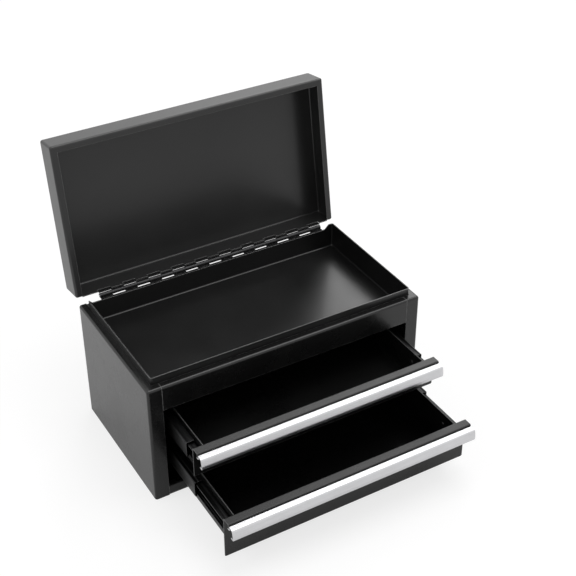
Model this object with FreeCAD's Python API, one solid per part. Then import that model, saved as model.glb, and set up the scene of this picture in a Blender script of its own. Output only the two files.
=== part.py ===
"""Two-drawer sheet steel bench chest with a hinged lid, a till under the lid and ball-bearing slides.

Millimetres. The origin is the centre of the flat base, +X is to the right, +Y is to the back and +Z is up.
The chest stands as it is used: lid thrown back, upper drawer half out, lower drawer almost fully out.
"""

import FreeCAD, Part
import math
import os

os.makedirs("parts", exist_ok=True)

# Driving dimensions
case_width = 320.0
case_depth = 170.6
case_height = 141.6
lid_height = 30.0
lid_open_angle = 99.0

# Sheet steel of the case and lid
sheet = 0.9
bend_radius = 2.5
overrun = 5.0
join_gap = 0.2

# Case panels
ledge_width = 7.9
ledge_flange = 10.0
post_width = 15.6
post_return_gap = 0.5
header_height = 28.6
header_return = 12.0
rear_flange = 14.0
rear_drop = 0.5
rail_height = 12.8
rail_return = 6.0
pan_flange = 12.0

# Till under the lid
till_depth = 29.1
till_rim = 8.5
till_rear_rim = 3.2
till_corner_left = 5.0
till_corner_right = 11.0

# Lid
lid_flange_gap = 0.6
lid_gap = 0.3
notch_depth = 4.0
notch_side_gap = 0.5

# Lid hinge
hinge_setback = 4.25
hinge_offset = 4.0
hinge_end_gap = 3.75
knuckle_count = 19
knuckle_gap = 0.3
barrel_radius = 2.45
pin_radius = 1.3
pin_clearance = 0.05
leaf_sheet = 1.0
leaf_height = 18.0
leaf_step = 0.5
leaf_overhang = 0.6

# Drawer slides, each with two stages: cabinet to middle member, and middle to drawer member
slide_thickness = 12.7
slide_side_gap = 2.5
slide_front_gap = 2.6
slide_rear_gap = 2.5
cabinet_member_reach = 9.5
cabinet_member_sheet = 1.0
middle_member_end_gap = 0.8
middle_member_sheet = 0.9
drawer_member_height = 13.0
drawer_member_sheet = 1.0
member_bend = 0.6
outer_ball_gap = 2.6
inner_ball_gap = 2.0
outer_web_gap = 1.7
inner_web_gap = 0.8

# Travel of one stage as a share of the slide's length, and how far out the photographed drawers stand
stage_travel_share = 0.5
upper_out_share = 0.515
upper_runner_out_share = 0.814
lower_out_share = 0.929
lower_runner_out_share = 1.0

# Ball cages
cage_end_gap = 5.25
cage_end_margin = 8.5
outer_cage_sheet = 0.6
inner_cage_sheet = 0.4
cage_bend = 0.4
cage_edge = 1.6
ball_clearance = 0.15
ball_hole_clearance = 0.12
balls_in_row = 4

# Channels that carry the slides
channel_width = 24.0
channel_foot = 8.0
channel_bend = 1.0
channel_top_gap = 2.0
front_channel_setback = 24.0
rear_channel_setback = 24.0

# Rivets
rivet_radius = 2.0
rivet_head_radius = 3.3
rivet_head_height = 1.1
rivet_tail_radius = 2.9
rivet_tail_height = 0.8
rivet_hole_clearance = 0.1
front_rivet_setback = 20.2
rear_rivet_setback = 27.8

# Drawers
drawer_sheet = 0.8
drawer_bend = 1.6
front_side_gap = 3.6
front_top_gap = 7.9
front_bottom_gap = 0.8
upper_front_height = 35.8
front_spacing = 5.7
front_corner = 1.0
front_bend = 0.7
tray_rear_gap = 4.3
tray_top_drop = 2.7
tray_bottom_rise = 1.2
slide_drop = 17.1

# Drawer handles
flange_reach = 9.6
flange_lip = 4.9
handle_reach = 18.7
handle_wall = 1.2
handle_bend = 0.6
handle_height = 14.4
handle_top_drop = 0.2
handle_hook = 1.7
handle_lip = 5.4
handle_lip_fall = 1.2

# Heights of the nose and waist of the handle as shares of its height, and the waist's depth in walls
nose_height_share = 0.09
waist_height_share = 0.42
belly_height_share = 0.76
waist_depth_share = 1.4
nose_depth_share = 1.3

# Places and sizes that follow from the ones above
half_width = case_width / 2
half_depth = case_depth / 2
opening_half = half_width - post_width
post_return = ledge_width - sheet - post_return_gap
till_half_width = half_width - ledge_width
till_half_depth = half_depth - ledge_width
till_floor_bottom = case_height + till_rim - till_depth - sheet
back_top = case_height - rear_drop
lid_flange = ledge_width - lid_flange_gap
hinge_length = 2 * (half_width - rear_flange - hinge_end_gap - hinge_offset)
pivot_y = half_depth + hinge_setback
pivot_z = case_height + lid_gap / 2
slide_half = opening_half - slide_side_gap
slide_front = half_depth - handle_reach - slide_front_gap
slide_length = slide_front + half_depth - 2 * sheet - slide_rear_gap
stage_travel = stage_travel_share * slide_length
middle_member_height = drawer_member_height + 2 * (inner_ball_gap + middle_member_sheet)
cabinet_member_height = middle_member_height + 2 * (outer_ball_gap + cabinet_member_sheet)
middle_member_setback = cabinet_member_sheet + outer_web_gap
drawer_member_setback = middle_member_setback + middle_member_sheet + inner_web_gap
cage_length = slide_length - stage_travel - 2 * cage_end_gap
ball_pitch = (cage_length - 2 * cage_end_margin) / (balls_in_row - 1)
tray_half = slide_half - slide_thickness
closed_front = -half_depth + handle_reach
tray_length = half_depth - 2 * sheet - tray_rear_gap - closed_front - drawer_sheet
front_width = 2 * (opening_half - front_side_gap)
upper_front_top = case_height - header_height - front_top_gap
lower_front_top = upper_front_top - upper_front_height - front_spacing
lower_front_height = lower_front_top - rail_height - front_bottom_gap


def vector(x, y, z):
    """Point or direction."""
    return FreeCAD.Vector(x, y, z)


def block(x_low, x_high, y_low, y_high, z_low, z_high):
    """Box between low and high values on each axis."""
    return Part.makeBox(x_high - x_low, y_high - y_low, z_high - z_low, vector(x_low, y_low, z_low))


def mirrored(shape):
    """The same piece for the other side of the chest."""
    return shape.mirror(vector(0, 0, 0), vector(1, 0, 0))


def fused(shapes):
    """One solid from overlapping or touching shapes."""
    return shapes[0].multiFuse(shapes[1:]).removeSplitter()


def rounded_outline(points, radii):
    """Closed wire through the points, with an arc of its own radius at each corner."""
    corners = []
    for index, corner in enumerate(points):
        to_before = (points[index - 1] - corner).normalize()
        to_after = (points[(index + 1) % len(points)] - corner).normalize()
        half_angle = to_before.getAngle(to_after) / 2
        reach = radii[index] / math.tan(half_angle)
        first = corner + to_before * reach
        last = corner + to_after * reach
        inward = (to_before + to_after).normalize()
        centre = corner + inward * (radii[index] / math.sin(half_angle))
        corners.append((first, centre - inward * radii[index], last, radii[index]))
    edges = []
    for index, (first, middle, last, radius) in enumerate(corners):
        if radius > 0:
            edges.append(Part.Arc(first, middle, last).toShape())
        following = corners[(index + 1) % len(corners)][0]
        edges.append(Part.LineSegment(last, following).toShape())
    return Part.Wire(edges)


def prism(points, radii, place, along):
    """Solid whose outline is the points laid out by place and drawn along a direction."""
    wire = rounded_outline([place(a, b) for a, b in points], radii)
    return Part.Face(wire).extrude(along)


def bent_sheet(path, thickness, bend, place, along):
    """Sheet bent along a path, lying on the left of it, with the same inner radius at each bend."""
    count = len(path)
    headings = []
    for index in range(count - 1):
        run = (path[index + 1][0] - path[index][0], path[index + 1][1] - path[index][1])
        length = math.hypot(run[0], run[1])
        headings.append((run[0] / length, run[1] / length))
    offset = []
    path_radii = []
    offset_radii = []
    for index, (a, b) in enumerate(path):
        before = headings[max(index - 1, 0)]
        after = headings[min(index, count - 2)]
        bisector = (-before[1] - after[1], before[0] + after[0])
        shift = thickness / (1 + before[0] * after[0] + before[1] * after[1])
        offset.append((a + bisector[0] * shift, b + bisector[1] * shift))
        turn = before[0] * after[1] - before[1] * after[0]
        at_end = index in (0, count - 1)
        path_radii.append(0 if at_end else bend + (thickness if turn > 0 else 0))
        offset_radii.append(0 if at_end else bend + (0 if turn > 0 else thickness))
    outline = path + offset[::-1]
    return prism(outline, path_radii + offset_radii[::-1], place, along)


def rounded_box(width, depth, height, radius, closed_ends):
    """Centred box on Z = 0 with rounded uprights, and rounded edges round its closed ends."""
    box = block(-width / 2, width / 2, -depth / 2, depth / 2, 0, height)
    uprights = []
    for edge in box.Edges:
        span = edge.BoundBox
        if span.ZLength > height / 2:
            uprights.append(edge)
    box = box.makeFillet(radius, uprights)
    rims = []
    for edge in box.Edges:
        span = edge.BoundBox
        at_bottom = span.ZMax < height / 2 and "bottom" in closed_ends
        at_top = span.ZMin > height / 2 and "top" in closed_ends
        if span.ZLength < height / 2 and (at_bottom or at_top):
            rims.append(edge)
    return box.makeFillet(radius, rims)


def open_box(width, depth, height, thickness, radius):
    """Sheet box with a floor at Z = 0, four walls and an open top."""
    outside = rounded_box(width, depth, height, radius, ["bottom"])
    inside = rounded_box(
        width - 2 * thickness, depth - 2 * thickness, height, radius - thickness, ["bottom"]
    )
    inside.translate(vector(0, 0, thickness))
    return outside.cut(inside)


def turned_over(shape, top):
    """The shape upside down, with its former floor at the given height."""
    shape.rotate(vector(0, 0, 0), vector(1, 0, 0), 180)
    shape.translate(vector(0, 0, top))
    return shape


def across(y, z):
    """Outline in the Y-Z plane, at X = 0."""
    return vector(0, y, z)


def along_x(shape, x_low):
    """The shape moved so that what began at X = 0 begins at x_low."""
    shape.translate(vector(x_low, 0, 0))
    return shape


# Case panels

def case_skin():
    """The outside of the case as one folded sheet, open at the bottom, from which panels are cut."""
    box = open_box(case_width, case_depth, case_height, sheet, bend_radius)
    return turned_over(box, case_height)


def left_side_panel():
    """Side wall with front post, rear flange and top ledge, and the ledge's flange down the till."""
    panel = case_skin().common(
        block(-half_width, -opening_half, -half_depth, half_depth, 0, case_height)
    )
    till_hole = block(
        -till_half_width, 0, -till_half_depth, half_depth + overrun, case_height - sheet - bend_radius,
        case_height + overrun,
    )
    behind_flange = block(
        -half_width + rear_flange, 0, 0, half_depth + overrun, -overrun, case_height + overrun
    )
    panel = panel.cut(till_hole).cut(behind_flange)
    post_fold = block(
        -opening_half - sheet, -opening_half, -half_depth + sheet, -half_depth + post_return,
        sheet + join_gap, case_height - sheet,
    )
    flange_low = case_height - ledge_flange
    side_flange = block(
        -till_half_width - sheet, -till_half_width, -till_half_depth - sheet,
        half_depth - 2 * sheet - join_gap, flange_low, case_height - sheet,
    )
    front_flange = block(
        -till_half_width - sheet, -opening_half - sheet - join_gap, -till_half_depth - sheet,
        -till_half_depth, flange_low, case_height - sheet,
    )
    return fused([panel, post_fold, side_flange, front_flange])


def front_header():
    """Panel above the drawers with the front ledge, its flange down the till and a lower return."""
    end = opening_half - join_gap
    low = case_height - header_height
    header = case_skin().common(
        block(-end, end, -half_depth, -till_half_depth, low, case_height)
    )
    flange = block(
        -end, end, -till_half_depth - sheet, -till_half_depth, case_height - ledge_flange,
        case_height - sheet,
    )
    lower_return = block(
        -end, end, -half_depth + sheet, -half_depth + header_return, low, low + sheet
    )
    return fused([header, flange, lower_return])


def back_panel():
    """Back wall inside the side panels' rear flanges, folded forward at the top to hold the till."""
    outer = half_depth - sheet
    path = [(outer, 0), (outer, back_top), (till_half_depth, back_top)]
    end = half_width - bend_radius
    panel = bent_sheet(path, sheet, bend_radius - sheet, across, vector(2 * end, 0, 0))
    panel = along_x(panel, -end)
    fold_end = till_half_width - sheet
    fold_low = back_top - bend_radius
    trims = []
    for side in (-1, 1):
        x_low, x_high = sorted((side * fold_end, side * half_width))
        trims.append(
            block(x_low, x_high, 0, outer - sheet, fold_low, case_height)
        )
    return panel.cut(trims[0]).cut(trims[1])


def bottom_pan():
    """Floor with low flanges inside the walls and the front rail with its return."""
    end = half_width - sheet
    rear = half_depth - 2 * sheet
    front = -half_depth + sheet
    rail_end = opening_half - join_gap
    corner = bend_radius - sheet
    floor = prism(
        [(-end, front), (end, front), (end, rear), (-end, rear)], [corner] * 4,
        lambda x, y: vector(x, y, 0), vector(0, 0, sheet),
    )
    pieces = [
        floor,
        block(-end, -end + sheet, front + bend_radius, rear - bend_radius, 0, pan_flange),
        block(end - sheet, end, front + bend_radius, rear - bend_radius, 0, pan_flange),
        block(-end + bend_radius, end - bend_radius, rear - sheet, rear, 0, pan_flange),
    ]
    path = [
        (-half_depth + rail_return, rail_height),
        (-half_depth, rail_height),
        (-half_depth, 0),
        (-half_depth + rail_return, 0),
    ]
    rail = bent_sheet(path, sheet, bend_radius - sheet, across, vector(2 * rail_end, 0, 0))
    pieces.append(along_x(rail, -rail_end))
    return fused(pieces)


def till():
    """Pan hung in the top of the case, its rim above the ledge and lower behind, by the hinge."""
    pan = open_box(
        2 * till_half_width, 2 * till_half_depth, till_depth + sheet, sheet, bend_radius
    )
    pan.translate(vector(0, 0, till_floor_bottom))
    rim = case_height + till_rim
    low = case_height + till_rear_rim
    slope = rim - low
    left = -till_half_width + till_corner_left
    right = till_half_width - till_corner_right
    points = [
        (left - slope, rim + overrun),
        (left - slope, rim),
        (left, low),
        (right, low),
        (right + slope, rim),
        (right + slope, rim + overrun),
    ]
    radii = [0, slope / 4, slope / 3, slope / 3, slope / 4, 0]
    window = prism(
        points, radii, lambda x, z: vector(x, till_half_depth - bend_radius, z),
        vector(0, bend_radius + overrun, 0),
    )
    return pan.cut(window)


# Lid and hinge

def opened(shape):
    """A lid piece turned from its closed place to the open one, about the hinge pin."""
    shape.rotate(vector(0, pivot_y, pivot_z), vector(1, 0, 0), -lid_open_angle)
    return shape


def lid_shell():
    """Lid with walls, an inward flange along its front and sides, and notches for the case's knuckles."""
    low = case_height + lid_gap
    outside = rounded_box(case_width, case_depth, lid_height, bend_radius, ["bottom", "top"])
    inside = rounded_box(
        case_width - 2 * sheet, case_depth - 2 * sheet, lid_height - 2 * sheet, bend_radius - sheet,
        ["bottom", "top"],
    )
    inside.translate(vector(0, 0, sheet))
    shell = outside.cut(inside)
    end = half_width - lid_flange
    mouth = block(-end, end, -half_depth + lid_flange, half_depth + overrun, -overrun, bend_radius)
    rear_edge = block(-end, end, half_depth - sheet, half_depth, 0, bend_radius)
    shell = fused([shell.cut(mouth), rear_edge])
    places, length = knuckle_places(0)
    for place in places:
        shell = shell.cut(block(
            place - notch_side_gap, place + length + notch_side_gap, half_depth - bend_radius,
            half_depth + overrun, -overrun, notch_depth,
        ))
    shell.translate(vector(0, 0, low))
    return opened(shell)


def knuckle_places(first):
    """Left end of every second knuckle, and the length of one."""
    pitch = hinge_length / knuckle_count
    start = hinge_offset - hinge_length / 2
    places = [start + index * pitch + knuckle_gap / 2 for index in range(first, knuckle_count, 2)]
    return places, pitch - knuckle_gap


def hinge_leaf(leaf_y, leaf_edge, leaf_end, first, side):
    """Leaf plate between two heights, and a strap rolled round the pin at every second knuckle."""
    left = hinge_offset - hinge_length / 2
    z_low, z_high = sorted((leaf_edge, leaf_end))
    plate = block(left, left + hinge_length, leaf_y, leaf_y + leaf_sheet, z_low, z_high)
    start_y = leaf_y + leaf_sheet / 2
    start_z = leaf_edge - side * leaf_sheet / 2
    distance = math.hypot(pivot_y - start_y, pivot_z - start_z)
    roll_radius = barrel_radius - leaf_sheet / 2
    aim = math.atan2(pivot_z - start_z, pivot_y - start_y)
    aim = aim - side * math.asin(roll_radius / distance)
    strap_length = math.sqrt(distance ** 2 - roll_radius ** 2)
    ahead = (math.cos(aim), math.sin(aim))
    beside = (-ahead[1] * leaf_sheet / 2, ahead[0] * leaf_sheet / 2)
    strap = [
        (start_y + beside[0], start_z + beside[1]),
        (start_y - beside[0], start_z - beside[1]),
        (start_y + ahead[0] * strap_length - beside[0], start_z + ahead[1] * strap_length - beside[1]),
        (start_y + ahead[0] * strap_length + beside[0], start_z + ahead[1] * strap_length + beside[1]),
    ]
    places, length = knuckle_places(first)
    pieces = [plate]
    for place in places:
        pieces.append(along_x(prism(strap, [0] * 4, across, vector(length, 0, 0)), place))
        pieces.append(Part.makeCylinder(
            barrel_radius, length, vector(place, pivot_y, pivot_z), vector(1, 0, 0)
        ))
    bore = Part.makeCylinder(
        pin_radius + pin_clearance, hinge_length + 2 * overrun,
        vector(left - overrun, pivot_y, pivot_z), vector(1, 0, 0),
    )
    return fused(pieces).cut(bore)


def case_hinge_leaf():
    """Hinge leaf on the outside of the back panel."""
    edge = back_top - leaf_step
    return hinge_leaf(half_depth - sheet, edge, edge - leaf_height, 0, 1)


def lid_hinge_leaf():
    """Hinge leaf on the outside of the lid's rear wall, reaching a little below it."""
    edge = case_height + lid_gap - leaf_overhang
    return opened(hinge_leaf(half_depth, edge, edge + leaf_height, 1, -1))


def hinge_pin():
    """Pin through all the knuckles."""
    left = hinge_offset - hinge_length / 2
    return Part.makeCylinder(
        pin_radius, hinge_length, vector(left, pivot_y, pivot_z), vector(1, 0, 0)
    )


# Slides

def slide_place(z):
    """Outline place for a left slide: reach from the mounting plane, and height from the slide's middle."""
    return lambda reach, height: vector(-slide_half + reach, 0, z + height)


def channel_section(reach_low, reach_high, height, thickness, bend, opens_inward, z, length):
    """Length of a C-shaped member, its web at one end of the reach and its flanges at the other."""
    path = [(reach_high, height / 2), (reach_low, height / 2)]
    path += [(reach_low, -height / 2), (reach_high, -height / 2)]
    if not opens_inward:
        path = [(reach_low, -height / 2), (reach_high, -height / 2)]
        path += [(reach_high, height / 2), (reach_low, height / 2)]
    return bent_sheet(path, thickness, bend, slide_place(z), vector(0, length, 0))


def channel_rows():
    """Middle of the front and rear channels along Y."""
    return (-slide_front + front_channel_setback, -slide_front + slide_length - rear_channel_setback)


def cabinet_member(z):
    """Left cabinet member, riveted flush to the channels."""
    member = channel_section(
        0, cabinet_member_reach, cabinet_member_height, cabinet_member_sheet, member_bend, True, z,
        slide_length,
    )
    member.translate(vector(0, -slide_front, 0))
    for y in channel_rows():
        member = member.cut(flush_rivet(y, z, rivet_hole_clearance))
    return member


def middle_member(z, out):
    """Left middle member, which runs in the cabinet member and carries the drawer member."""
    member = channel_section(
        middle_member_setback, slide_thickness - middle_member_end_gap, middle_member_height,
        middle_member_sheet, member_bend, True, z, slide_length,
    )
    member.translate(vector(0, -slide_front - out, 0))
    return member


def drawer_member(z, out):
    """Left drawer member, its web on the drawer's side wall."""
    member = channel_section(
        drawer_member_setback, slide_thickness, drawer_member_height, drawer_member_sheet,
        member_bend, False, z, slide_length,
    )
    member.translate(vector(0, -slide_front - out, 0))
    for y in drawer_rivet_rows(out):
        member = member.cut(rivet_hole(y, z))
    return member


def side_channel(y):
    """Left hat channel, on the side wall, with its web in the slides' mounting plane."""
    depth = half_width - sheet - slide_half
    low = -channel_width / 2
    high = channel_width / 2
    path = [
        (sheet, low - channel_foot),
        (sheet, low),
        (depth, low),
        (depth, high),
        (sheet, high),
        (sheet, high + channel_foot),
    ]
    wall = -half_width + sheet
    bottom = pan_flange + join_gap
    channel = bent_sheet(
        path, sheet, channel_bend, lambda x, side: vector(wall + x, y + side, bottom),
        vector(0, 0, till_floor_bottom - channel_top_gap - bottom),
    )
    for z in (upper.slide_z, lower.slide_z):
        channel = channel.cut(flush_rivet(y, z, rivet_hole_clearance))
    return channel


def flush_rivet(y, z, clearance):
    """Rivet from the cabinet member into the channel, its countersunk head flush, grown by a clearance."""
    start = vector(-slide_half + cabinet_member_sheet, y, z)
    outward = vector(-1, 0, 0)
    head = Part.makeCone(
        rivet_head_radius + clearance, rivet_radius + clearance, cabinet_member_sheet, start, outward
    )
    shank = Part.makeCylinder(
        rivet_radius + clearance, cabinet_member_sheet + sheet + rivet_tail_height, start, outward
    )
    pieces = [head, shank]
    if clearance == 0:
        tail_start = vector(-slide_half - sheet, y, z)
        pieces.append(Part.makeCylinder(rivet_tail_radius, rivet_tail_height, tail_start, outward))
    return fused(pieces)


def slide_rivets():
    """Rivets that hold the four cabinet members."""
    rivets = []
    for z in (upper.slide_z, lower.slide_z):
        for y in channel_rows():
            rivet = flush_rivet(y, z, 0)
            rivets += [rivet, mirrored(rivet)]
    return Part.makeCompound(rivets)


# Ball cages

def outer_stage():
    """Reach of the ball row, height of the tracks above and below it, cage web reach and cage sheet."""
    middle_outer = middle_member_height / 2
    reach = (middle_member_setback + cabinet_member_reach) / 2
    web = cabinet_member_sheet + (outer_web_gap - outer_cage_sheet) / 2
    return reach, middle_outer + outer_ball_gap, middle_outer, web, outer_cage_sheet


def inner_stage():
    """The same for the balls between the middle member and the drawer member."""
    drawer_outer = drawer_member_height / 2
    reach = (drawer_member_setback + slide_thickness - middle_member_end_gap) / 2
    web = drawer_member_setback - (inner_web_gap + inner_cage_sheet) / 2
    return reach, drawer_outer + inner_ball_gap, drawer_outer, web, inner_cage_sheet


def ball_centres(stage, z, middle_y):
    """Centres of the balls of one left cage, and their radius."""
    reach, high, low, web, thickness = stage
    radius = (high - low) / 2 - ball_clearance
    centres = []
    for index in range(balls_in_row):
        y = middle_y + (index - (balls_in_row - 1) / 2) * ball_pitch
        for side in (-1, 1):
            centres.append(vector(-slide_half + reach, y, z + side * (high + low) / 2))
    return centres, radius


def ball_cage(stage, z, middle_y):
    """Left cage: a strip folded round the inner member, with a hole for each ball."""
    reach, high, low, web, thickness = stage
    height = high + low + thickness
    centres, radius = ball_centres(stage, z, middle_y)
    cage = channel_section(
        web, reach + radius + cage_edge, height, thickness, cage_bend, True, z, cage_length
    )
    cage.translate(vector(0, middle_y - cage_length / 2, 0))
    for centre in centres:
        base = centre - vector(0, 0, radius)
        cage = cage.cut(
            Part.makeCylinder(radius + ball_hole_clearance, 2 * radius, base, vector(0, 0, 1))
        )
    return cage


def balls(stage, z, middle_y):
    """Balls of a left cage and of the right cage across the drawer."""
    centres, radius = ball_centres(stage, z, middle_y)
    spheres = []
    for centre in centres:
        sphere = Part.makeSphere(radius, centre)
        spheres += [sphere, mirrored(sphere)]
    return Part.makeCompound(spheres)


# Drawers

class Drawer:
    """Heights and the place of one drawer, from how far its two slide stages are out."""

    def __init__(self, name, front_top, front_height, out_share, runner_out_share):
        self.name = name
        self.top = front_top
        self.height = front_height
        self.out = out_share * 2 * stage_travel
        self.runner_out = runner_out_share * stage_travel
        self.front_y = closed_front - self.out
        self.slide_z = front_top - slide_drop


upper = Drawer(
    "upper", upper_front_top, upper_front_height, upper_out_share, upper_runner_out_share
)
lower = Drawer(
    "lower", lower_front_top, lower_front_height, lower_out_share, lower_runner_out_share
)


def drawer_rivet_rows(out):
    """Rivets of a drawer member along Y, for a drawer that is so far out."""
    front = closed_front + drawer_sheet - out
    return (front + front_rivet_setback, front + tray_length - rear_rivet_setback)


def rivet_hole(y, z):
    """Hole through a left drawer wall and its drawer member."""
    start = vector(-slide_half, y, z)
    return Part.makeCylinder(
        rivet_radius + rivet_hole_clearance, slide_thickness + overrun, start, vector(1, 0, 0)
    )


def drawer_rivet(y, z):
    """Rivet through a left drawer wall: domed head in the drawer, tail in the drawer member."""
    wall_inside = -tray_half + drawer_sheet
    web_inside = -slide_half + slide_thickness - drawer_member_sheet
    dome_radius = (rivet_head_radius ** 2 + rivet_head_height ** 2) / (2 * rivet_head_height)
    dome = Part.makeSphere(dome_radius, vector(wall_inside + rivet_head_height - dome_radius, y, z))
    inside = block(
        wall_inside, wall_inside + rivet_head_height, y - dome_radius, y + dome_radius,
        z - dome_radius, z + dome_radius,
    )
    shank_start = vector(web_inside - rivet_tail_height, y, z)
    shank_length = wall_inside - web_inside + rivet_tail_height
    shank = Part.makeCylinder(rivet_radius, shank_length, shank_start, vector(1, 0, 0))
    tail = Part.makeCylinder(rivet_tail_radius, rivet_tail_height, shank_start, vector(1, 0, 0))
    return fused([dome.common(inside), shank, tail])


def drawer_tray(drawer):
    """Drawer floor and side walls, folded from one sheet."""
    low = drawer.top - drawer.height + tray_bottom_rise
    high = drawer.top - tray_top_drop
    front = drawer.front_y + drawer_sheet
    path = [(-tray_half, high), (-tray_half, low), (tray_half, low), (tray_half, high)]
    tray = bent_sheet(
        path, drawer_sheet, drawer_bend - drawer_sheet, lambda x, z: vector(x, front, z),
        vector(0, tray_length, 0),
    )
    for y in drawer_rivet_rows(drawer.out):
        hole = rivet_hole(y, drawer.slide_z)
        tray = tray.cut(hole).cut(mirrored(hole))
    return tray


def drawer_back(drawer):
    """Rear wall of a drawer, between its side walls and on its floor."""
    low = drawer.top - drawer.height + tray_bottom_rise + drawer_sheet
    high = drawer.top - tray_top_drop
    end = tray_half - drawer_sheet
    corner = drawer_bend - drawer_sheet
    rear = drawer.front_y + tray_length
    return prism(
        [(-end, low), (end, low), (end, high), (-end, high)], [corner, corner, 0, 0],
        lambda x, z: vector(x, rear, z), vector(0, drawer_sheet, 0),
    )


def drawer_front(drawer):
    """Front plate, wider than the tray, folded forward along its top and down into a lip."""
    y = drawer.front_y
    low = drawer.top - drawer.height
    path = [
        (y - flange_reach + drawer_sheet, drawer.top - flange_lip),
        (y - flange_reach + drawer_sheet, drawer.top - drawer_sheet),
        (y, drawer.top - drawer_sheet),
        (y, low),
    ]
    half = front_width / 2
    front = bent_sheet(path, drawer_sheet, front_bend, across, vector(2 * half, 0, 0))
    front = along_x(front, -half)
    for side in (-1, 1):
        corner = prism(
            [(side * half, low), (side * half, low + front_corner), (side * (half - front_corner), low)],
            [0] * 3, lambda x, z: vector(x, y - overrun, z), vector(0, 2 * overrun, 0),
        )
        front = front.cut(corner)
    return front


def drawer_handle(drawer):
    """Aluminium pull of even wall, hooked round the lip of the drawer front and open underneath."""
    low = handle_height - handle_lip_fall
    nose = handle_reach - nose_depth_share * handle_wall
    waist = handle_reach - waist_depth_share * handle_wall
    hook_top = flange_lip + handle_bend
    section = [
        (flange_reach - handle_hook, hook_top),
        (flange_reach, hook_top),
        (flange_reach, handle_top_drop),
        (nose, nose_height_share * handle_height),
        (waist, waist_height_share * handle_height),
        (handle_reach, belly_height_share * handle_height),
        (handle_reach, low),
        (handle_reach - handle_lip, handle_height),
    ]
    path = [(drawer.front_y - reach, drawer.top - fall) for reach, fall in section]
    handle = bent_sheet(path, handle_wall, handle_bend, across, vector(front_width, 0, 0))
    return along_x(handle, -front_width / 2)


def drawer_rivets(drawer):
    """Rivets that hold a drawer to its two drawer members."""
    rivets = []
    for y in drawer_rivet_rows(drawer.out):
        rivet = drawer_rivet(y, drawer.slide_z)
        rivets += [rivet, mirrored(rivet)]
    return Part.makeCompound(rivets)


# The whole chest

def add_pair(nodes, name, left_piece):
    """Left piece and its mirror image, with the side written into the name."""
    nodes[name.replace("SIDE", "left")] = left_piece
    nodes[name.replace("SIDE", "right")] = mirrored(left_piece)


def add_drawer(nodes, drawer):
    """One drawer with its slides, ball cages and rivets."""
    z = drawer.slide_z
    name = drawer.name
    slide_middle = -slide_front + slide_length / 2
    outer_y = slide_middle - drawer.runner_out / 2
    inner_y = slide_middle - drawer.runner_out - (drawer.out - drawer.runner_out) / 2
    nodes[name + "_drawer_tray"] = drawer_tray(drawer)
    nodes[name + "_drawer_back"] = drawer_back(drawer)
    nodes[name + "_drawer_front"] = drawer_front(drawer)
    nodes[name + "_drawer_handle"] = drawer_handle(drawer)
    nodes[name + "_drawer_rivets"] = drawer_rivets(drawer)
    add_pair(nodes, name + "_SIDE_cabinet_member", cabinet_member(z))
    add_pair(nodes, name + "_SIDE_middle_member", middle_member(z, drawer.runner_out))
    add_pair(nodes, name + "_SIDE_drawer_member", drawer_member(z, drawer.out))
    add_pair(nodes, name + "_SIDE_outer_cage", ball_cage(outer_stage(), z, outer_y))
    add_pair(nodes, name + "_SIDE_inner_cage", ball_cage(inner_stage(), z, inner_y))
    nodes[name + "_outer_balls"] = balls(outer_stage(), z, outer_y)
    nodes[name + "_inner_balls"] = balls(inner_stage(), z, inner_y)


def chest():
    """All the pieces by name."""
    nodes = {}
    add_pair(nodes, "SIDE_side_panel", left_side_panel())
    nodes["back_panel"] = back_panel()
    nodes["bottom_pan"] = bottom_pan()
    nodes["front_header"] = front_header()
    nodes["till"] = till()
    front_row, rear_row = channel_rows()
    add_pair(nodes, "SIDE_front_slide_channel", side_channel(front_row))
    add_pair(nodes, "SIDE_rear_slide_channel", side_channel(rear_row))
    nodes["slide_rivets"] = slide_rivets()
    nodes["case_hinge_leaf"] = case_hinge_leaf()
    nodes["hinge_pin"] = hinge_pin()
    nodes["lid_shell"] = lid_shell()
    nodes["lid_hinge_leaf"] = lid_hinge_leaf()
    for drawer in (upper, lower):
        add_drawer(nodes, drawer)
    return nodes


for node, shape in chest().items():
    shape.exportStep("parts/" + node + ".step")
    print(node, len(shape.Solids), shape.isValid(), round(shape.Volume))
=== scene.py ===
# %% [markdown]
# # A two-drawer bench chest, dressed for the camera
#
# The chest is made of black powder-coated sheet steel. Its lid is thrown back on a long
# piano hinge, a shallow till sits under the lid, and two drawers hang on ball-bearing
# slides. Each drawer has one bright aluminium pull across its whole front.
#
# The engineered model arrives finished: every panel, slide and rivet has its real size
# and place. This lesson gives the pieces their finish, swaps the pieces that a press or
# an extruder shapes finely for surfaces worked out with numpy, and then sets up the light
# and the camera. The first cell loads the model and notes its size.

# %% Load the model
import math

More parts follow.
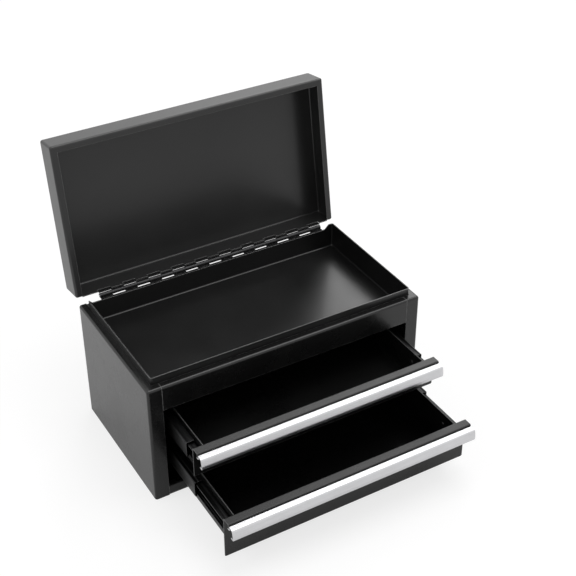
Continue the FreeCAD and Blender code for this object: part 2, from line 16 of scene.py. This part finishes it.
import bpy
import numpy as np
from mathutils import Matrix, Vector


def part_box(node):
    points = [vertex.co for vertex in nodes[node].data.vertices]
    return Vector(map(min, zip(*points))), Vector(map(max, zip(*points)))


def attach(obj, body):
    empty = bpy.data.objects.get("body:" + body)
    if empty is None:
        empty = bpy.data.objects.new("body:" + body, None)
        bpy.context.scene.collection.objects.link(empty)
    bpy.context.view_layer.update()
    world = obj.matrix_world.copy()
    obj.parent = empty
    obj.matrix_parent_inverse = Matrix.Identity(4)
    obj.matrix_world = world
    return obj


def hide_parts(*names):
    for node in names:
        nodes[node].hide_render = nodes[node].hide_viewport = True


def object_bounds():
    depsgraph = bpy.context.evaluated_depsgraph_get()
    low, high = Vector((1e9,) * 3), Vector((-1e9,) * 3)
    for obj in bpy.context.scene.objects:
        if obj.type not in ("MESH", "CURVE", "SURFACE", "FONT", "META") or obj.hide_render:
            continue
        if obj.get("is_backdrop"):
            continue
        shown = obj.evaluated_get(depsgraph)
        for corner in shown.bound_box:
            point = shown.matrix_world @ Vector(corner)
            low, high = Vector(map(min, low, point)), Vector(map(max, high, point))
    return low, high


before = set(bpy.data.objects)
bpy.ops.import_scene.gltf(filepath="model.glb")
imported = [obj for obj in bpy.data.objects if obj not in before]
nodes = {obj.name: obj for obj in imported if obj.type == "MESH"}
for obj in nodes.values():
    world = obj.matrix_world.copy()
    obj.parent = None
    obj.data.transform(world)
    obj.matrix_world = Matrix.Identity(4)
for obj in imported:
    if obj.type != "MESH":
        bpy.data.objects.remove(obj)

cad_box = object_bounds()
bpy.context.scene.view_settings.view_transform = "Standard"
mm = 0.001

# %% [markdown]
# ## Folded sheet as a profile carried along a line
#
# Almost everything here is sheet metal folded along straight lines, or an extrusion. Both
# are one profile carried along a straight run. A folded profile is drawn as a few points
# with a bend radius at each, just as a maker would mark it on paper. The first helper
# turns such points into a smooth path.

# %% Rounded path
def rounded(points, radii, steps):
    """Path through the points, with an arc at each inner corner.

    An arc starts and ends radius / tan(half the corner's angle) along the two sides, and its
    centre lies radius / sin(half the angle) along the line that halves the corner. Between
    its ends the arm from the centre turns evenly: arm(t) is the mix
    (sin((1 - t) turn) first + sin(t turn) last) / sin(turn).
    """
    points = np.array(points, float)
    share = np.linspace(0, 1, steps + 1)[:, None]
    pieces = [points[:1]]
    for before, corner, after, radius in zip(points[:-2], points[1:-1], points[2:], radii):
        back = (before - corner) / np.linalg.norm(before - corner)
        ahead = (after - corner) / np.linalg.norm(after - corner)
        half = np.arccos(back @ ahead) / 2
        centre = corner + (back + ahead) / np.linalg.norm(back + ahead) * radius / np.sin(half)
        first = corner + back * radius / np.tan(half) - centre
        last = corner + ahead * radius / np.tan(half) - centre
        turn = np.pi - 2 * half
        arms = (np.sin((1 - share) * turn) * first + np.sin(share * turn) * last) / np.sin(turn)
        pieces.append(centre + arms)
    pieces.append(points[-1:])
    return np.concatenate(pieces)


def sideways(path, distance):
    """Path moved to its left: each point goes along the mean of its two sides' normals,
    stretched so that both sides keep the distance."""
    run = np.diff(path, axis=0)
    run = run / np.linalg.norm(run, axis=1)[:, None]
    normal = np.stack([-run[:, 1], run[:, 0]], axis=1)
    before = np.concatenate([normal[:1], normal])
    after = np.concatenate([normal, normal[-1:]])
    stretch = 1 + (before * after).sum(axis=1)
    return path + distance * (before + after) / stretch[:, None]


# %% [markdown]
# The second helper gives the path its wall and carries the closed section between two
# ends. Every cut edge of a real sheet is a little blunt from tumbling and paint, and that
# blunt edge is what catches the light, so the section is eased at its corners and drawn
# in slightly at both ends. The faces are numbered as a grid of section points by
# stations, and the two ends are closed with a strip of quads across the wall.

# %% Carried section
def carried(path, thickness, place, ends, ease=0.15 * mm):
    """Vertices and faces of a sheet bent along a path and carried between two ends.

    Vertex (j, i) is place(a, b, s), where (a, b) is point i of the closed section and s is
    station j. At the first and last station each point goes towards its partner across the
    wall by the ease.
    """
    far = sideways(path, thickness)
    along_first = (path[1] - path[0]) / np.linalg.norm(path[1] - path[0])
    along_last = (path[-1] - path[-2]) / np.linalg.norm(path[-1] - path[-2])
    across_first = (far[0] - path[0]) / np.linalg.norm(far[0] - path[0])
    across_last = (far[-1] - path[-1]) / np.linalg.norm(far[-1] - path[-1])
    widest_ease = 0.35 * abs(thickness)
    side = min(ease, widest_ease)
    near_row = path.copy()
    far_row = far.copy()
    near_row[0] += along_first * side
    far_row[0] += along_first * side
    near_row[-1] -= along_last * side
    far_row[-1] -= along_last * side
    near_ends = path[0] + across_first * side, path[-1] + across_last * side
    far_ends = far[0] - across_first * side, far[-1] - across_last * side
    near_row = np.concatenate([[near_ends[0]], near_row, [near_ends[1]]])
    far_row = np.concatenate([[far_ends[0]], far_row, [far_ends[1]]])
    count = len(near_row)
    loop = np.concatenate([near_row, far_row[::-1]])
    partner = loop[::-1]
    toward = (partner - loop) / np.linalg.norm(partner - loop, axis=1)[:, None]
    low, high = ends
    stations = np.array([low, low + side, high - side, high])
    draw = np.array([side, 0, 0, side])
    section = loop[None] + toward[None] * draw[:, None, None]
    spread = np.broadcast_to(stations[:, None], section.shape[:2])
    points = place(section[..., 0].ravel(), section[..., 1].ravel(), spread.ravel())
    size = len(loop)
    here = np.arange(size)
    ahead = np.roll(here, -1)
    rows = np.arange(len(stations) - 1)[:, None] * size
    walls = np.stack([here + rows, ahead + rows, ahead + rows + size, here + rows + size], axis=-1)
    cap = np.arange(count - 1)
    end = np.stack([cap, size - 1 - cap, size - 2 - cap, cap + 1], axis=-1)
    last_station = (len(stations) - 1) * size
    faces = np.concatenate([walls.reshape(-1, 4), end, end[:, ::-1] + last_station])
    return points, outward(points, faces)


def outward(points, faces):
    """The same faces, turned round if the volume they enclose comes out negative.

    The volume is a sixth of the sum of a . (b x c) over the triangles of every quad.
    """
    a, b, c, d = (points[faces[:, corner]] for corner in range(4))
    volume = (a * np.cross(b, c)).sum() + (a * np.cross(c, d)).sum()
    return faces if volume > 0 else faces[:, ::-1]


# %% [markdown]
# The last helper makes the object. It sits at the origin with its place in its mesh,
# rides on a body of the engineered model, names the finish it takes and hides the plain
# solid that it stands for. Smooth shading keeps the bends soft, and edges sharper than
# 35 degrees stay crisp.

# %% Make a piece
crisp_edge = math.radians(35)


def piece(name, body, finish, surface, replaced):
    """Object from vertices and quads, which rides on a body and stands for a CAD node."""
    points, faces = surface
    mesh = bpy.data.meshes.new(name)
    mesh.from_pydata(points.tolist(), [], faces.tolist())
    mesh.polygons.foreach_set("use_smooth", np.ones(len(faces), bool))
    mesh.set_sharp_from_angle(angle=crisp_edge)
    mesh.materials.append(finish)
    made = bpy.data.objects.new(name, mesh)
    bpy.context.scene.collection.objects.link(made)
    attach(made, body)
    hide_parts(replaced)
    return made


# %% [markdown]
# ## Writing shader maths as Python
#
# A Blender material is a graph of nodes. Wiring it by hand takes many lines, so a small
# class stands for one output socket. Adding or multiplying two such sockets adds the
# Math node that does it. Everything that is not plain arithmetic comes from `node`, which
# sets the node's own settings first and then its input sockets.

# %% A socket that does arithmetic
class Wire:
    """One output of a shader graph. Its sums, products, 1 - wire and climbs are Math nodes."""

    def __init__(self, tree, socket):
        self.tree = tree
        self.socket = socket

    def math(self, operation, *others):
        """A Math node of this wire and the others, which may be wires or numbers."""
        made = self.tree.nodes.new("ShaderNodeMath")
        made.operation = operation
        for index, value in enumerate((self,) + others):
            if isinstance(value, Wire):
                self.tree.links.new(value.socket, made.inputs[index])
            else:
                made.inputs[index].default_value = value
        return Wire(self.tree, made.outputs[0])

    def __add__(self, other):
        return self.math("ADD", other)

    def __mul__(self, other):
        return self.math("MULTIPLY", other)

    def __rsub__(self, other):
        return (self * -1.0) + other

    def over(self, low, high):
        """0 below low, 1 above high, and a straight climb between."""
        made = self.math("SUBTRACT", low).math("DIVIDE", high - low)
        made.socket.node.use_clamp = True
        return made


# %% [markdown]
# The second class holds the whole tree, of a material or of the world. Its `place` is the
# point of the surface in the object's own metres, so no pattern slides when a drawer or
# the lid moves.

# %% A graph of nodes
def grey(level, blue=1.0):
    """A grey as a colour, with its blue raised by a share."""
    return (level, level, level * blue, 1.0)


class Graph:
    """The node tree of one material, or of the world."""

    def __init__(self, owner):
        owner.use_nodes = True
        self.owner = owner
        self.tree = owner.node_tree

    def plug(self, socket, value):
        """Set an input socket to a value, or link a wire to it."""
        if isinstance(value, Wire):
            self.tree.links.new(value.socket, socket)
        else:
            socket.default_value = value

    def node(self, kind, settings=None, sockets=None, output=0):
        """Any node: its settings first, then values or wires for its inputs, by name or number."""
        made = self.tree.nodes.new(kind)
        for key, value in (settings or {}).items():
            setattr(made, key, value)
        for key, value in (sockets or {}).items():
            self.plug(made.inputs[key], value)
        return Wire(self.tree, made.outputs[output])

    def finish(self, shader, sockets):
        """Set or link inputs of a shader that the tree starts with, and hand back the tree's owner."""
        for key, value in sockets.items():
            self.plug(self.tree.nodes[shader].inputs[key], value)
        return self.owner

    def noise(self, scale, detail=2.0, stretch=(1, 1, 1)):
        """Soft random blotches, so many to the metre, drawn out along the axes."""
        place = self.node("ShaderNodeTexCoord", output="Object")
        spread = self.node("ShaderNodeMapping", None, {"Vector": place, "Scale": stretch})
        sockets = {"Vector": spread, "Scale": scale, "Detail": detail}
        return self.node("ShaderNodeTexNoise", None, sockets)

    def between(self, low, high, amount):
        """A colour on the way from low to high."""
        return self.node("ShaderNodeMix", {"data_type": "RGBA"}, {0: amount, 6: low, 7: high}, 2)

    def blunt_edges(self, radius):
        """Normals that turn smoothly round every edge, as paint does over a cut sheet."""
        return self.node("ShaderNodeBevel", {"samples": 6}, {"Radius": radius})

    def painted_edge_highlight(self, blunt):
        """Mask of a painted edge highlight: 1 along an edge and 0 on a flat face, one less how far the
        blunted normal agrees.
        """
        plain = self.node("ShaderNodeNewGeometry", output="Normal")
        operation = {"operation": "DOT_PRODUCT"}
        agree = self.node("ShaderNodeVectorMath", operation, {0: blunt, 1: plain}, "Value")
        first_highlight = 0.02
        full_highlight = 0.25
        return (1 - agree).over(first_highlight, full_highlight)

    def bump(self, height, distance, strength, normal):
        """Normals tilted by a height map, whose 0 to 1 is so many metres."""
        sockets = {"Height": height, "Distance": distance, "Strength": strength, "Normal": normal}
        return self.node("ShaderNodeBump", None, sockets)


# %% [markdown]
# ## Black powder coat
#
# Powder coat is plastic baked onto the steel. It flows as it melts, which leaves a very
# fine orange peel, and it stays a little uneven in gloss. The colour is nearly black, so
# what is seen is the sheen: a rough base under a clearer skin, which is Principled's
# coat. Along every cut edge the colour turns a light grey, a painted highlight that
# draws a fine line. The lid's coat is painted greyer than the case's, as painted light
# over the whole lid, and the drawers have a duller one.

# %% Powder coat
drift_per_metre = 9.0
handled_per_metre = 34.0
peel_per_metre = 1400.0
specks_per_metre = 2600.0
speck_lift = 2.2
speck_share = 0.5
# The painted edge highlight is never weaker than this share of its full strength.
least_edge_highlight = 0.8
uneven = 0.03
peel_rough = 0.04
paint_edge = 0.7 * mm
fine_relief = 0.02 * mm


# Its edge is the light grey of a painted highlight along every edge.
def powder_coat(name, dark, light, edge, gloss, skin, sheen=0.5, coat=0.12):
    """Black paint whose tint drifts between two greys and whose roughness is near gloss."""
    graph = Graph(bpy.data.materials.new(name))
    drift = graph.noise(drift_per_metre, detail=3.0)
    handled = graph.noise(handled_per_metre, detail=5.0).over(0.42, 0.7)
    peel = graph.noise(peel_per_metre, detail=2.0)
    specks = graph.noise(specks_per_metre, detail=1.0).over(0.7, 0.78)
    blunt = graph.blunt_edges(paint_edge)
    tint = graph.between(grey(dark), grey(light), drift.over(0.35, 0.65))
    tint = graph.between(tint, grey(light * speck_lift), specks * speck_share)
    # Painted highlight: along every edge the colour turns towards the edge grey, a little weaker in some
    # random patches.
    painted_edge_highlight = graph.painted_edge_highlight(blunt) * (handled * (1 - least_edge_highlight) + least_edge_highlight)
    tint = graph.between(tint, grey(edge), painted_edge_highlight)
    rough = drift.over(0.3, 0.7) * uneven + handled * uneven + (gloss - peel_rough / 2)
    return graph.finish("Principled BSDF", {
        "Base Color": tint,
        "Roughness": rough + peel * peel_rough,
        "Specular IOR Level": sheen,
        "Coat Weight": drift.over(0.2, 0.8) * uneven + coat,
        "Coat Roughness": skin,
        "Normal": graph.bump(peel, fine_relief, 0.3, blunt),
    })


case_paint = powder_coat(
    "case_powder_coat", dark=0.004, light=0.007, edge=0.40, gloss=0.25, skin=0.15, sheen=0.42)
# The lid's copy is painted greyer than the case's, as painted light over the whole lid.
lid_paint_painted_lighter = powder_coat(
    "lid_powder_coat_painted_lighter", dark=0.019, light=0.023, edge=0.35, gloss=0.28, skin=0.16, sheen=0.42, coat=0.1)
till_paint = powder_coat(
    "till_powder_coat", dark=0.003, light=0.005, edge=0.40, gloss=0.30, skin=0.16)
drawer_paint = powder_coat(
    "drawer_powder_coat", dark=0.003, light=0.005, edge=0.35, gloss=0.26, skin=0.14, sheen=0.34)
print("paints:", case_paint.name, lid_paint_painted_lighter.name, till_paint.name, drawer_paint.name)

# %% [markdown]
# ## The bare and plated metals
#
# The pulls are anodised aluminium, drawn through a die and brushed along their length.
# The slides are cold-rolled steel with a black zinc finish, which the rolling has left
# with faint lines along their length. Every metal has a painted highlight along its
# edges, a lighter grey in its colour. The balls, the cages, the rivets and the hinge each
# have their own steel.

# %% Metals
lines_per_metre = 60.0
stains_per_metre = 45.0
line_share = 0.7
line_rough = 0.12
stain_rough = 0.06
metal_edge = 0.3 * mm
cool = 1.02


# Its edge is the light grey of a painted highlight along every edge.
def drawn_metal(name, dark, light, edge, rough, stretch, deep=0.4):
    """Metal with fine lines drawn along one axis, a softer stain over them and a painted highlight along
    its edges.
    """
    graph = Graph(bpy.data.materials.new(name))
    lines = graph.noise(lines_per_metre, 4.0, stretch)
    stain = graph.noise(stains_per_metre, detail=3.0)
    blunt = graph.blunt_edges(metal_edge)
    worn = lines.over(0.3, 0.7) * line_share + stain.over(0.4, 0.7) * (1 - line_share)
    tint = graph.between(grey(dark, cool), grey(light, cool), worn)
    evened = rough - (line_rough + stain_rough) / 2
    return graph.finish("Principled BSDF", {
        # Painted highlight: along every edge the colour turns towards the edge grey.
        "Base Color": graph.between(tint, grey(edge), graph.painted_edge_highlight(blunt)),
        "Metallic": 1.0,
        "Roughness": lines * line_rough + stain * stain_rough + evened,
        "Normal": graph.bump(lines, fine_relief, deep, blunt),
    })


along_x = (0.5, 60, 60)
along_y = (40, 0.6, 40)
even = (1, 1, 1)
pull_metal = drawn_metal(
    "anodised_aluminium", dark=0.60, light=0.70, edge=0.85, rough=0.30, stretch=along_x)
slide_metal = drawn_metal(
    "black_zinc", dark=0.020, light=0.045, edge=0.35, rough=0.34, stretch=along_y)
cage_metal = drawn_metal(
    "bright_zinc", dark=0.40, light=0.55, edge=0.65, rough=0.30, stretch=along_y)
ball_metal = drawn_metal(
    "polished_ball_steel", dark=0.70, light=0.80, edge=0.80, rough=0.16, stretch=even, deep=0.05)
rivet_metal = drawn_metal(
    "dark_rivet_steel", dark=0.03, light=0.06, edge=0.10, rough=0.38, stretch=even, deep=0.1)
hinge_metal = drawn_metal(
    "black_hinge_steel", dark=0.035, light=0.055, edge=0.10, rough=0.42, stretch=along_x)
pin_metal = drawn_metal(
    "hinge_wire", dark=0.28, light=0.40, edge=0.45, rough=0.30, stretch=along_x)
small_metals = [cage_metal, ball_metal, rivet_metal, pin_metal]
print("metals:", pull_metal.name, slide_metal.name, hinge_metal.name, len(small_metals), "more")

# %% [markdown]
# ## Dress the engineered pieces
#
# The folded panels, the hinge and the small parts of the slides keep their engineered
# shape, because folding and turning already give it. Each only needs its finish. A node's
# name says what it is, so one short list of words sorts all of them; the first word that
# a name holds decides, and whatever is left is the painted case. The word slide holds the
# letters lid, so the four slide channels inside the case take the lid's greyer coat.

# %% Dress the nodes
finishes = {
    "balls": ball_metal, "cage": cage_metal, "member": slide_metal, "rivets": rivet_metal,
    "handle": pull_metal, "pin": pin_metal, "hinge_leaf": hinge_metal, "lid": lid_paint_painted_lighter,
    "till": till_paint, "drawer": drawer_paint,
}
for name, node in nodes.items():
    matches = [finish for word, finish in finishes.items() if word in name]
    node.data.materials.clear()
    node.data.materials.append((matches + [case_paint])[0])
print("dressed:", len(nodes), "nodes")

# %% [markdown]
# ## The drawer pulls
#
# A pull is one aluminium extrusion: a tab tucked under the drawer front's lip, a flat top
# with a fine groove near its back, a rounded corner, a front face that runs down and a
# little forward, and a small foot turned in under the fingers. A box with rounded edges
# would look like a bar. The profile is given in millimetres forward of the drawer front
# and down from its top, and carried along X. Between the lip and the pull stays a narrow
# gap, which shows as a black line.

# %% Pull profile
pull_reach = 18.7
pull_wall = 1.2
pull_ease = 0.2 * mm
pull_top = 1.5
pull_back = 10.4
tab_edge = 7.9
lip_bottom = 5.0
groove_back = 11.5
groove_slope = 0.15
groove_floor = 0.4
groove_depth = 0.35


def pull_path():
    """Outer surface of the pull, from its tab to its foot, as forward and down.

    The groove is a notch in the top face, just in front of the tab.
    """
    groove_start = groove_back + groove_slope
    groove_end = groove_start + groove_floor
    groove_bottom = pull_top + groove_depth
    outline = [
        (tab_edge, lip_bottom), (pull_back, lip_bottom), (pull_back, pull_top),
        (groove_back, pull_top), (groove_start, groove_bottom), (groove_end, groove_bottom),
        (groove_end + groove_slope, pull_top), (17.0, pull_top), (18.6, 10.0), (18.3, 13.9), (14.1, 13.6),
    ]
    crisp = 0.08
    bends = [0.3, 0.35, crisp, crisp, crisp, crisp, 3.0, 9.0, 0.9]
    return rounded(outline, bends, 10) * mm


def pull(level):
    """The pull of one drawer, hung from the top edge of its drawer front."""
    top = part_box(level + "_drawer_front")[1][2]
    low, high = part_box(level + "_drawer_handle")
    face = low[1] + pull_reach * mm

    def place(forward, down, x):
        return np.stack([x, face - forward, top - down], axis=-1)

    surface = carried(pull_path(), pull_wall * mm, place, (low[0], high[0]), pull_ease)
    body = level + "_drawer"
    return piece(level + "_pull", body, pull_metal, surface, body + "_handle")


for level in ("upper", "lower"):
    made = pull(level)
    print(made.name, len(made.data.polygons), "faces")

# %% [markdown]
# ## The slide members
#
# A telescopic slide is three strips of steel rolled into channels that nest in each
# other. Along each flange a shallow track is rolled for the balls, and it shows as a
# bright line with a dark one beside it. The engineered members are plain channels. Here
# each is rolled again with its tracks and with rounder corners.

# %% Rolled members
track_half = 0.6
shoulder_half = 1.6
track_bend = 0.5
web_bend = 1.6


def member_path(web, edge, height, track, depth):
    """Outer surface of a channel from one flange's edge round the web to the other's.

    Each flange dips by the depth in the middle of the track, with sloping shoulders.
    """
    top = height / 2
    step = np.sign(edge - web)
    dip = track_half * step
    shoulder = shoulder_half * step
    rise = [
        (edge, top), (track + shoulder, top), (track + dip, top - depth),
        (track - dip, top - depth), (track - shoulder, top), (web, top),
    ]
    fall = [(reach, -level) for reach, level in rise[::-1]]
    track_bends = [track_bend] * 4
    return rounded(rise + fall, track_bends + [web_bend, web_bend] + track_bends, 5) * mm


def member(side, level, kind, body, web, edge, height, wall, track, depth):
    """One rolled member in place of the engineered one."""
    node = level + "_" + side + "_" + kind + "_member"
    low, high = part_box(node)
    middle = (low[2] + high[2]) / 2
    turn = -1 if side == "right" else 1

    def place(reach, rise, y):
        return np.stack([turn * (reach - slide_plane), y, middle + rise], axis=-1)

    inward = np.sign(edge - web) * wall * mm
    surface = carried(member_path(web, edge, height, track, depth), inward, place, (low[1], high[1]))
    return piece(node.replace("_member", "_rail"), body, slide_metal, surface, node)


slide_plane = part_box("upper_right_cabinet_member")[1][0]
rails = []
for level in ("upper", "lower"):
    for side in ("left", "right"):
        rails.append(member(
            side, level, "cabinet", "case",
            web=0.0, edge=9.5, height=26.0, wall=1.0, track=6.1, depth=-0.3))
        rails.append(member(
            side, level, "middle", level + "_runner",
            web=2.7, edge=11.9, height=18.8, wall=0.9, track=6.1, depth=0.4))
        rails.append(member(
            side, level, "drawer", level + "_drawer",
            web=12.7, edge=4.4, height=13.0, wall=1.0, track=8.2, depth=0.3))
print("rails:", len(rails), "such as", rails[0].name)

# %% [markdown]
# ## Floor and backdrop
#
# The chest stands on a plain white sweep. The eye sees a floor that glows by itself, so it
# stays white at the edges of the picture and still takes a soft shadow under the chest.
# Anything shiny sees a share of that glow. Other light meets a plain pale matt floor.

# %% Floor
def seen(graph, mirrored=1.0):
    """1 for a ray from the camera, a share of it off a gloss or through glass, 0 for soft light."""
    camera, glossy, through = (
        graph.node("ShaderNodeLightPath", output=output)
        for output in ("Is Camera Ray", "Is Glossy Ray", "Is Transmission Ray")
    )
    return camera.math("MAXIMUM", (glossy + through) * mirrored)


floor_half = 6.0
mirrored_share = 0.4
pale = 0.85
seen_pale = 0.3
floor_glow = 0.75
turns = ((-1, -1), (1, -1), (1, 1), (-1, 1))
corners = [(across * floor_half, along * floor_half, 0) for across, along in turns]
mesh = bpy.data.meshes.new("floor")
mesh.from_pydata(corners, [], [(0, 1, 2, 3)])
floor = bpy.data.objects.new("floor", mesh)
bpy.context.scene.collection.objects.link(floor)
floor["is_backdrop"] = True
graph = Graph(bpy.data.materials.new("studio_floor"))
shown = seen(graph, mirrored_share)
matt = graph.between(grey(pale), grey(seen_pale), shown)
diffuse = graph.node("ShaderNodeBsdfDiffuse", None, {"Color": matt})
glow = graph.node("ShaderNodeEmission", None, {"Strength": shown * floor_glow})
both = graph.node("ShaderNodeAddShader", None, {0: diffuse, 1: glow})
mesh.materials.append(graph.finish("Material Output", {"Surface": both}))
print("floor:", 2 * floor_half, "m wide")

# %% [markdown]
# The world is the backdrop. Where it is seen, straight or mirrored, it is plain white; as
# soft light on the chest it is half as strong, so the black paint keeps its depth.

# %% Backdrop
soft_share = 0.5
world = bpy.data.worlds.new("studio")
bpy.context.scene.world = world
graph = Graph(world)
strength = seen(graph) * (1 - soft_share) + soft_share
graph.finish("Background", {"Color": grey(1.0), "Strength": strength})
print("backdrop:", world.name)

# %% [markdown]
# ## Studio light
#
# Three square softboxes stand round the chest: one to the left, a large one overhead and
# one high behind it on the right. The last is what the till's floor mirrors past the end
# of the lid. It lights the thin bright lines along the folded edges, together with the
# painted edge highlight in the finishes.

# %% Lamps
chest_middle = Vector((0, 0, 0.1))


def softbox(name, place, size, power):
    """Square area lamp at a place, turned to the middle of the chest."""
    light = bpy.data.lights.new(name, "AREA")
    light.shape = "SQUARE"
    light.size = size
    light.energy = power
    lamp = bpy.data.objects.new(name, light)
    bpy.context.scene.collection.objects.link(lamp)
    lamp.location = place
    lamp.rotation_euler = (chest_middle - Vector(place)).to_track_quat("-Z", "Y").to_euler()
    lamp.visible_camera = False
    print(name, size, "m,", power, "W")


softbox("left_softbox", (-1.3, 0.3, 1.1), size=0.9, power=4.0)
softbox("overhead_softbox", (0.45, -0.1, 1.7), size=1.2, power=12.0)
softbox("back_softbox", (1.15, 1.7, 1.5), size=1.1, power=9.0)

# %% [markdown]
# ## Camera
#
# The camera stands to the left in front and looks down on the chest. Its place and focal
# length were worked out from the corners of the case and the lid.

# %% Camera
focal_pixels = 1234.1
frame_pixels = 576
tilt = math.pi - 2.1725
roll = 0.0028
heading = -0.5293
camera_data = bpy.data.cameras.new("camera")
camera = bpy.data.objects.new("camera", camera_data)
bpy.context.scene.collection.objects.link(camera)
camera_data.sensor_width = 36.0
camera_data.lens = camera_data.sensor_width * focal_pixels / frame_pixels
camera.location = (-0.5058, -0.9494, 0.8957)
camera.rotation_euler = (tilt, roll, heading)
bpy.context.scene.camera = camera
print("lens:", round(camera_data.lens, 1), "mm")

# %% [markdown]
# ## Finish
#
# The dressed chest has to be as large as the engineered one. Both boxes are printed,
# so that they can be compared.

# %% Finish
boxes = {"cad": cad_box, "visual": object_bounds()}
boxes = {name: [list(corner) for corner in box] for name, box in boxes.items()}
print("boxes:", boxes)
